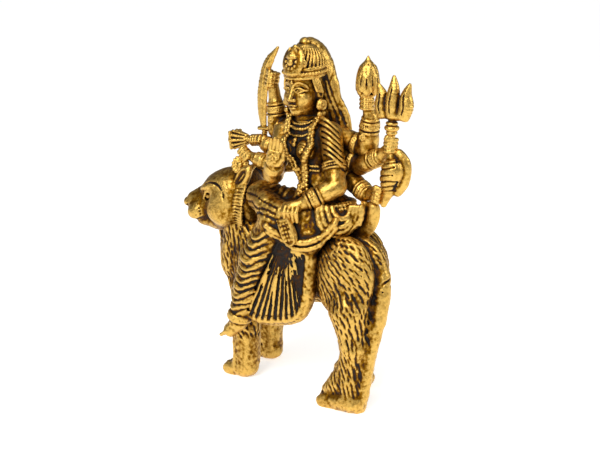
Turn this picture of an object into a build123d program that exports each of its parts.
"""Eight-armed goddess seated on a lion, a small brass idol made of castings brazed together.

Millimetres, +Z up. The lion walks towards -X and the goddess looks towards -Y.
Everything is modelled about the lion's middle plane (y = 0) and moved by STANDING_OFFSET
at the end, which puts the origin under the middle of the whole idol, on the ground.
"""

import os

from build123d import *

# ---------------------------------------------------------------- driving dimensions
STANDING_OFFSET = (9.75, 3.2, 0.0)
PAW_TRACK = 11.5          # each paw's distance from the lion's middle plane
SOLE_DEPTH = 100.0        # the block under the ground that trims the soles flat
BACK_HEIGHT = 72.0        # top of the lion's back, which carries the goddess
SHOULDER_HEIGHT = 112.0   # the goddess's shoulders
HEAD_CENTRE = (-6.8, -1.9, 128.5)
HEAD_RADIUS = 8.2         # the skull's ball, which the jaw narrows below
NECK = (-6.8, -0.8, 117.0)
NECK_RADIUS = 4.2
BROW_HEIGHT = 134.5       # underside of the crown's band
CROWN_TIP = 147.0
VEIL_TOP = 149.0
PEG_RADIUS = 1.6          # brazing pegs that locate one casting in the next
PEG_DEPTH = 4.0
BANGLE_HEIGHT = 0.9       # how far a bangle stands off the arm
BANGLE_WIDTH = 1.7
BALL_SWELL = 1.02         # joint balls are a touch larger than the rods they join
NUDGE = 0.011             # a hair's move that frees two surfaces from running tangent
SLIVER = 0.008            # cubic millimetres two neighbours may still share
CRUMB_SHARE = 0.25        # a cut-off bit smaller than this share of its piece is dropped


# ---------------------------------------------------------------- shape helpers
def slab(outline, front, depth):
    """A plate with its (x, z) outline, from its front face back along +Y by its depth."""
    corners = [(x, front, z) for x, z in outline]
    face = make_face(Polyline(*corners, corners[0]))
    return extrude(face, depth, (0, 1, 0))


def box_of(shape):
    box = shape.bounding_box()
    return [box.min.X, box.min.Y, box.min.Z, box.max.X, box.max.Y, box.max.Z]


def join(*shapes):
    """The union of shapes that each touch the ones before, as one sound solid."""
    body = shapes[0]
    for shape in shapes[1:]:
        old, new = box_of(body), box_of(shape)
        reach = [min(a, b) for a, b in zip(old[:3], new[:3])]
        reach += [max(a, b) for a, b in zip(old[3:], new[3:])]
        least = max(body.volume, shape.volume)
        for attempt in range(6):
            moved = Location((NUDGE * attempt, -NUDGE * attempt, NUDGE * attempt)) * shape
            both = body + moved
            whole = max(abs(a - b) for a, b in zip(box_of(both), reach)) < 0.35
            if whole and both.is_valid and both.volume >= least and len(both.solids()) == 1:
                break
        body = both
    return body


def limb(*stations):
    """A run of tapered rods with a ball at every (x, y, z, radius) station."""
    pieces = []
    for (ax, ay, az, ar), (bx, by, bz, br) in zip(stations, stations[1:]):
        start, end = Vector(ax, ay, az), Vector(bx, by, bz)
        at = Plane(origin=start, z_dir=end - start)
        length = (end - start).length
        bottom = (Align.CENTER, Align.CENTER, Align.MIN)
        if abs(ar - br) < 1e-6:
            pieces.append(at * Cylinder(ar, length, align=bottom))
        else:
            pieces.append(at * Cone(ar, br, length, align=bottom))
        pieces.append(Location((bx, by, bz)) * Sphere(br * BALL_SWELL))
    x, y, z, r = stations[0]
    return join(Location((x, y, z)) * Sphere(r * BALL_SWELL), *pieces)


def peg(start, towards, depth=PEG_DEPTH, radius=PEG_RADIUS):
    """A round brazing peg from start, running towards another point."""
    at = Plane(origin=start, z_dir=Vector(*towards) - Vector(*start))
    return at * Cylinder(radius, depth, align=(Align.CENTER, Align.CENTER, Align.MIN))


def band(centre, axis, inner, outer, width):
    """A plain band of square section about an axis, open in the middle."""
    at = Plane(origin=centre, z_dir=axis)
    return at * (Cylinder(outer, width) - Cylinder(inner, width * 2))


def between(a, b, share):
    """The point a share of the way from a to b."""
    return tuple(p + (q - p) * share for p, q in zip(a, b))


def sleeve(start, end, start_radius, end_radius, share, width, height):
    """A bangle on a tapered rod: its bore is the rod's own cone, so it fits with no gap."""
    run = Vector(*end) - Vector(*start)
    middle = run.length * share
    slope = (end_radius - start_radius) / run.length
    low, high = middle - width / 2, middle + width / 2
    outer = max(start_radius + slope * low, start_radius + slope * high) + height
    profile = Polyline(
        (start_radius + slope * low, 0, low),
        (outer, 0, low),
        (outer, 0, high),
        (start_radius + slope * high, 0, high),
        (start_radius + slope * low, 0, low),
    )
    turned = revolve(make_face(profile), Axis.Z)
    return Plane(origin=start, z_dir=run) * turned


def standing(shape):
    """The shape with everything under the ground cut away, which leaves its flat sole."""
    return shape - Location((0, 0, -SOLE_DEPTH / 2)) * Box(400, 400, SOLE_DEPTH)


# ---------------------------------------------------------------- the lion
def lion_trunk():
    """Chest, barrel and rump. The barrel's top is the back that carries the goddess."""
    girth = 14.5
    spine = BACK_HEIGHT - girth
    barrel = limb(
        (-31, 0, spine + 1.0, girth - 1.3),
        (-8, 0, spine - 0.6, girth),
        (17, 0.4, spine, girth),
    )
    chest = limb((-33, 0, 55, 12), (-35, 0, 38, 10.4))
    return join(barrel, chest)


def lion_mane():
    return limb((-42.3, -2.5, 77, 10.6), (-41.2, -1.4, 63, 10.4))


def lion_head():
    """Skull, muzzle, lower jaw and the two upright ears."""
    skull = Location((-49.4, -7.0, 79.2)) * Sphere(8.8)
    muzzle = limb((-54.0, -9.0, 76.4, 6.4), (-61.0, -12.0, 73.4, 4.7))
    jaw = limb((-52.0, -8.2, 71.6, 4.8), (-58.6, -11.0, 69.0, 3.2))
    bottom = (Align.CENTER, Align.CENTER, Align.MIN)
    near_ear = Plane(origin=(-43.5, -13.0, 83.4), z_dir=(0.1, -0.3, 1)) * Cone(3.3, 1.2, 7.5, align=bottom)
    far_ear = Plane(origin=(-48.0, 0.0, 84.6), z_dir=(0.1, 0.3, 1)) * Cone(3.3, 1.2, 7.5, align=bottom)
    return join(skull, muzzle, jaw, near_ear, far_ear)


def foreleg(side, hip_x, paw_x):
    y = side * PAW_TRACK
    return standing(
        limb(
            (hip_x, y * 0.8, 34, 7.5),
            (hip_x, y, 20, 5.6),
            (hip_x + 1, y, 5.4, 4.9),
            (paw_x - 2.6, y + side * 0.2, 3.6, 4.5),
        )
    )


def hindleg(side, hip_x, ankle_x, paw_x):
    y = side * PAW_TRACK
    return standing(
        limb(
            (hip_x + 1, y * 0.72, 59, 10.2),
            (hip_x + 3, y * 0.88, 43, 8.4),
            (ankle_x, y, 26, 5.3),
            (ankle_x - 3, y, 10, 4.7),
            (paw_x - 5, y + side * 0.2, 3.8, 4.6),
        )
    )


def lion_tail():
    return standing(
        limb(
            (25, 3, 66, 3.3),
            (31.5, 3.5, 59, 3.2),
            (34.5, 3.5, 48, 3.1),
            (33.5, 1, 34, 3.0),
            (30.5, -3, 20, 2.9),
            (28.0, -6, 3, 3.3),
        )
    )


# ---------------------------------------------------------------- the goddess
def torso():
    """Hips, waist, chest, shoulders and neck in one casting, with a peg into the lion."""
    hips = limb((0.5, -1.5, 79.6, 9.4), (11, -1.5, 78.4, 8.8))
    trunk = limb((2.6, -1.5, 84, 8.2), (-0.4, -1.5, 92, 6.6), (-4.6, -1.7, 103.5, 7.5))
    yoke = limb((-14.6, 0, SHOULDER_HEIGHT, 4.9), (2.2, 0, SHOULDER_HEIGHT, 4.7))
    neck = limb((-6.6, -0.6, SHOULDER_HEIGHT - 5, NECK_RADIUS * 1.2), (*NECK[:2], 121, NECK_RADIUS))
    seat_peg = peg((4, -1, 76), (4, -1, 56), 16, 3)
    return join(hips, trunk, yoke, neck, seat_peg)


def head():
    x, y, z = HEAD_CENTRE
    skull = limb((x, y + 0.6, z + 2.0, HEAD_RADIUS), (x, y - 1.6, z - 5.4, 5.4))
    return join(skull, peg((*NECK[:2], z - 6), NECK, 7, 2))


def crown():
    """A tall crown: a turned body with its band, and the pointed plate over the forehead."""
    x, y, _ = HEAD_CENTRE
    profile = Polyline(
        (0, 0, BROW_HEIGHT - 0.6),
        (9.6, 0, BROW_HEIGHT - 0.6),
        (9.6, 0, BROW_HEIGHT + 2.4),
        (8.0, 0, BROW_HEIGHT + 3.0),
        (7.2, 0, BROW_HEIGHT + 6.5),
        (4.8, 0, CROWN_TIP - 3.5),
        (1.6, 0, CROWN_TIP - 1.2),
        (0, 0, CROWN_TIP - 0.8),
        (0, 0, BROW_HEIGHT - 0.6),
    )
    body = Location((x - 0.4, y + 0.3, 0)) * revolve(make_face(profile), Axis.Z)
    plate = limb((x - 1.0, y - 6.4, BROW_HEIGHT + 3.6, 3.6), (x - 0.8, y - 3.6, CROWN_TIP - 1.6, 1.3))
    return join(body, plate)


def hair_veil():
    """Hair and veil that rise to a rounded cone behind the crown and fall over the back."""
    peak = 7.0
    cone = limb((-8.0, 5.4, VEIL_TOP - peak, peak), (-7.6, 6.0, 128, 9.0))
    outline = ((-18.5, 100), (-19.5, 112), (-16.0, 125), (1.5, 125), (7.5, 114), (11.5, 101))
    return join(cone, slab(outline, 5.2, 5.6))


def left_leg():
    """The hanging leg in its draped cloth, from the hip over the knee to the ankle."""
    return limb(
        (7, -7, 79, 8.4),
        (-11, -18.0, 76.5, 6.8),
        (-19, -19.3, 60, 5.7),
        (-25, -18.9, 43, 5.0),
        (-29, -18.5, 30.5, 4.3),
    )


def left_foot():
    return limb((-29.8, -18.8, 27.4, 4.0), (-33.4, -20.0, 24.0, 3.3), (-36.0, -20.6, 22.0, 2.0))


def right_leg():
    """The folded leg: knee towards the lion's head, shin lying back across the lap."""
    return limb(
        (-3, -5, 79, 7.4),
        (-24, -10, 83, 6.2),
        (-16.5, -17, 81, 4.4),
        (-5.5, -20.0, 81.5, 3.3),
    )


def skirt_pleats():
    """The fan of pleats that hangs from the lap over the lion's flank."""
    outline = (
        (-27.0, 33.0),
        (-17.0, 31.8),
        (-7.0, 33.6),
        (3.0, 36.8),
        (9.0, 42.0),
        (9.6, 64.0),
        (9.0, 74.0),
        (-14.0, 76.0),
    )
    return slab(outline, -18.0, 7.5)


def sash_loop(radius, wire, centre):
    """One hem of the waist cloth, hanging in a U from the left hip."""
    at = Plane(origin=centre, x_dir=(1, 0.35, 0), z_dir=(0.35, -1, 0.12))
    stations = []
    for step in range(7):
        turn = Vector(radius, 0, 0).rotate(Axis.Z, -180 + 30 * step)
        spot = at.from_local_coords(turn)
        stations.append((spot.X, spot.Y, spot.Z, wire))
    return limb(*stations)


def sash_loops():
    outer = sash_loop(10.0, 1.5, (13.4, -10.5, 79.6))
    inner = sash_loop(6.8, 1.3, (13.4, -11.5, 80.0))
    cloth = Plane(origin=(13.4, -10.2, 78.4), z_dir=(0.35, -1, 0.12)) * Cylinder(9.0, 3.0)
    return join(outer, cloth, inner)


def sash_end():
    """The patterned tongue of the waist cloth that hangs under the left hand."""
    tongue = Location((0, 0, 0)) * Box(7.5, 2.4, 11)
    tip = Location((0, 0, -5.5)) * Rotation(90, 0, 0) * Cylinder(3.75, 2.4)
    return Location((0.2, -21.0, 72.5), (4, -22, 0)) * (tongue + tip)


def scarf():
    """The free end of the shawl, from behind the conch hand down to the lion's rump."""
    return limb(
        (29.2, 2.0, 84.0, 2.2),
        (28.4, 2.0, 79.0, 3.0),
        (24.8, 1.8, 74.5, 3.2),
        (19.0, 1.4, 72.0, 2.8),
    )


# ---------------------------------------------------------------- arms
ARMS = {
    # name: shoulder, elbow, wrist, palm, radii at shoulder elbow and wrist, palm radius
    "arm_left_resting": ((6.2, -1.6, 111.5), (14, -7, 92), (6.5, -15.0, 86.5), (2.6, -19.0, 83.5),
                         (4.3, 3.9, 2.9), 3.1),
    "arm_left_lotus": ((7, 6.6, 109.5), (20, 6.0, 106.5), (22.5, 3.5, 119), (22.2, 2, 125.5),
                       (3.2, 3.6, 3.0), 3.2),
    "arm_left_trident": ((7, 5, 101.5), (17.5, 4, 98.2), (29, 2, 105), (34.5, 0.5, 110.5),
                         (3.2, 3.2, 2.7), 3.0),
    "arm_left_conch": ((6.5, 4, 93.5), (13, 4.5, 91.5), (22, 2.5, 88.5), (29.0, 0.5, 89.5),
                       (3.2, 3.3, 2.9), 3.2),
    "arm_right_blessing": ((-18, -3, 109.5), (-12.5, -15.5, 95.0), (-10.0, -18.5, 100.5),
                           (-8.3, -19.3, 105.0), (3.9, 3.7, 2.9), 3.2),
    "arm_right_sword": ((-17.5, 4.8, 112), (-26, 3.5, 109.8), (-26.3, 2.5, 120.5),
                        (-27.4, 1.9, 131.0), (3.1, 3.6, 3.0), 3.1),
    "arm_right_mace": ((-16.5, 4.5, 102.5), (-24, 1.5, 101.0), (-30.0, -0.5, 103.4),
                       (-34.0, -1.3, 104.6), (2.9, 3.1, 2.5), 2.8),
    "arm_right_discus": ((-14.5, 2, 95.5), (-22, -3.5, 94.5), (-29.0, -5.5, 96.4),
                         (-34.5, -6.2, 98.4), (2.9, 3.0, 2.4), 2.7),
}


def arm(shoulder, elbow, wrist, palm, radii, palm_radius):
    """An arm with its closed hand and the peg that plugs into the goddess's side."""
    rods = limb((*shoulder, radii[0]), (*elbow, radii[1]), (*wrist, radii[2]))
    axis = Plane(origin=wrist, z_dir=Vector(*palm) - Vector(*wrist))
    length = (Vector(*palm) - Vector(*wrist)).length
    root = axis * Cylinder(radii[2] * 0.9, length, align=(Align.CENTER, Align.CENTER, Align.MIN))
    ball = Location(palm) * Sphere(palm_radius)
    fingers = Location((palm[0], palm[1] - palm_radius * 0.55, palm[2])) * Cylinder(
        palm_radius * 0.62, palm_radius * 2.1
    )
    inwards = (NECK[0], NECK[1], shoulder[2])
    return join(rods, root, ball, fingers, peg(shoulder, inwards, radii[0] + PEG_DEPTH))


def bangles(name):
    """The two bangles of one wrist."""
    _, elbow, wrist, _, radii, _ = ARMS[name]
    pair = [
        sleeve(elbow, wrist, radii[1], radii[2], share, BANGLE_WIDTH, BANGLE_HEIGHT)
        for share in (0.62, 0.84)
    ]
    return Compound(children=pair)


def armlets():
    """The bands on the two front upper arms."""
    rings = []
    for name in ("arm_left_resting", "arm_right_blessing"):
        shoulder, elbow, _, _, radii, _ = ARMS[name]
        for share in (0.58, 0.72):
            rings.append(sleeve(shoulder, elbow, radii[0], radii[1], share, 1.6, 0.8))
    return Compound(children=rings)


# ---------------------------------------------------------------- what the hands hold
def sword():
    """A curved single-edged blade with its guard, grip and pommel."""
    heel_left, heel_right, tip = (-34.2, 111), (-31.0, 111), (-24.4, 144.0)
    outer = ThreePointArc(heel_left, (-33.8, 129), tip)
    inner = ThreePointArc(tip, (-29.9, 128), heel_right)
    edge = Line(heel_right, heel_left)
    face = make_face(Plane.XZ * (outer + inner + edge))
    blade = Location((0, 3.1, 0)) * extrude(face, 2.4)
    guard = Location((-32.6, 1.9, 110.6)) * Box(5.4, 3.2, 1.8)
    grip = Location((-32.7, 1.9, 107.8)) * Cylinder(1.3, 5.0)
    pommel = Location((-32.8, 1.9, 105.4)) * Sphere(1.9)
    return join(blade, guard, grip, pommel)


def lotus_bud():
    profile = Polyline(
        (0, 0, 0),
        (2.8, 0, 0),
        (5.2, 0, 4.2),
        (5.0, 0, 7.8),
        (2.8, 0, 12),
        (0, 0, 15),
        (0, 0, 0),
    )
    return Location((22.4, 1.6, 126.3)) * revolve(make_face(profile), Axis.Z)


def trident():
    """The shaft with its collar, and three thick prongs in one plane."""
    x, y = 35.6, -1.2
    bottom = (Align.CENTER, Align.CENTER, Align.MIN)
    shaft = Location((x, y, 103)) * Cylinder(1.6, 20, align=bottom)
    collar = Location((x, y, 117)) * Sphere(2.6)
    yoke = Location((x + 0.8, y, 123)) * Box(15.5, 4.2, 4.6)
    prongs = []
    for foot, top, height in ((-4.8, -6.2, 10.0), (0.8, 0.8, 13.4), (6.4, 7.8, 11.4)):
        start, end = (x + foot, y, 123.5), (x + top, y, 123.5 + height)
        prongs.append(
            Plane(origin=start, z_dir=Vector(*end) - Vector(*start))
            * Cone(2.5, 0.7, height, align=bottom)
        )
    return join(shaft, collar, yoke, *prongs)


def conch():
    """The shell held mouth up, with its flared lip on the outer side."""
    body = limb((36.2, -0.8, 102.0, 3.8), (36.8, -0.8, 96.5, 4.4), (34.2, -0.6, 90.6, 1.9))
    lip = limb((42.2, 1.0, 104.0, 2.4), (41.6, 1.0, 94.5, 3.0))
    return join(body, lip)


def mace():
    lean = (-1, 0, -0.11)
    bottom = (Align.CENTER, Align.CENTER, Align.MIN)
    shaft = Plane(origin=(-30.6, -2.8, 106.2), z_dir=lean) * Cylinder(1.5, 9.5, align=bottom)
    bell = Plane(origin=(-37.8, -2.8, 105.4), z_dir=lean) * Cone(1.9, 4.7, 8.0, align=bottom)
    return join(shaft, bell)


def discus():
    centre = (-37.0, -8.8, 94.4)
    rim = Plane(origin=centre, z_dir=(0.5, -1, 0.35)) * Cylinder(4.0, 1.8)
    return join(rim, Location(centre) * Sphere(1.8))


# ---------------------------------------------------------------- applied ornaments
def garland():
    """The long chain of flowers that falls from both shoulders to the lap."""
    return limb(
        (-13.0, -5.4, 114.0, 1.3),
        (-12.4, -8.0, 107.5, 1.3),
        (-8.8, -9.6, 98, 1.3),
        (0.2, -10.0, 86.8, 1.4),
        (2.6, -9.2, 96, 1.3),
        (1.9, -7.8, 106, 1.3),
        (0.8, -5.2, 114.0, 1.3),
    )


def necklace():
    return band((-6.6, -0.9, 117.2), (0, -0.25, 1), NECK_RADIUS - 1.2, NECK_RADIUS + 2.0, 2.2)


def girdle():
    return band((2.2, -1.7, 85.5), (-0.22, 0, 1), 5.0, 10.4, 2.6)


def earrings():
    """A round stud through each ear with a ball hanging under it."""
    x, _, _ = HEAD_CENTRE
    pair = []
    for side in (-1, 1):
        start = Plane(origin=(x + side * 5.5, -1.6, 126.0), z_dir=(side, 0, 0))
        stud = start * Cylinder(1.4, 4.4, align=(Align.CENTER, Align.CENTER, Align.MIN))
        drop = Location((x + side * 8.7, -1.8, 122.8)) * Sphere(2.3)
        pair.append(join(stud, drop))
    return Compound(children=pair)


def anklet():
    return sleeve((-25, -18.9, 43), (-29, -18.5, 30.5), 5.0, 4.3, 0.9, 2.4, 1.0)


# ---------------------------------------------------------------- assembly
def castings():
    """Every piece by name. A piece is cut to fit round all the ones listed before it."""
    made = {
        "garland": garland(),
        "necklace": necklace(),
        "sash_end": sash_end(),
        "sash_loops": sash_loops(),
        "sword": sword(),
        "lotus_bud": lotus_bud(),
        "trident": trident(),
        "conch": conch(),
        "mace": mace(),
        "discus": discus(),
        "hair_veil": hair_veil(),
        "crown": crown(),
        "goddess_head": head(),
    }
    for name, sizes in ARMS.items():
        made[name] = arm(*sizes)
        made["bangles" + name[3:]] = bangles(name)
    made["armlets"] = armlets()
    made["earrings"] = earrings()
    made["goddess_torso"] = torso()
    made["girdle"] = girdle()
    made["left_foot"] = left_foot()
    made["left_leg"] = left_leg()
    made["anklet"] = anklet()
    made["right_leg"] = right_leg()
    made["skirt_pleats"] = skirt_pleats()
    made["lion_tail"] = lion_tail()
    made["scarf"] = scarf()
    made["lion_head"] = lion_head()
    made["lion_mane"] = lion_mane()
    made["foreleg_left"] = foreleg(-1, -33.5, -36.5)
    made["foreleg_right"] = foreleg(1, -36.5, -39.0)
    made["hindleg_left"] = hindleg(-1, 18, 28, 20.5)
    made["hindleg_right"] = hindleg(1, 14, 14, 8)
    made["lion_trunk"] = lion_trunk()
    return made


def near(shape, other):
    """Whether the boxes of two shapes meet."""
    a, b = box_of(shape), box_of(other)
    return all(a[i] < b[i + 3] and b[i] < a[i + 3] for i in range(3))


def shared(shape, other):
    """The volume two shapes both fill, in cubic millimetres."""
    try:
        both = shape & other
    except ValueError:
        return 0.0
    return 0.0 if both is None else sum(s.volume for s in both.solids())


def carve(shape, tool):
    """The shape with the tool's volume removed, tried again a hair away if a cut goes wrong."""
    for attempt in range(5):
        moved = Location((NUDGE * attempt, NUDGE * attempt, -NUDGE * attempt)) * tool
        cut = shape - moved
        if not cut.solids() or not cut.is_valid:
            continue
        gone = shape.volume - cut.volume
        if gone > SLIVER or (gone > -SLIVER and shared(shape, tool) < SLIVER):
            return cut
    return shape


def fit_together(made):
    """Cuts each piece to its neighbours' faces, so that the brazed joints meet with no overlap."""
    fitted = {}
    for name, shape in made.items():
        for other_name, other in made.items():
            if other_name == name:
                break
            if near(shape, other):
                shape = carve(shape, other)
        whole = shape.solids()
        biggest = max(s.volume for s in whole)
        kept = [s for s in whole if s.volume > biggest * CRUMB_SHARE]
        fitted[name] = kept[0] if len(kept) == 1 else Compound(children=kept)
    return fitted


def main():
    os.makedirs("parts", exist_ok=True)
    for name, shape in fit_together(castings()).items():
        placed = Location(STANDING_OFFSET) * shape
        placed.label = name
        export_step(placed, f"parts/{name}.step")


main()
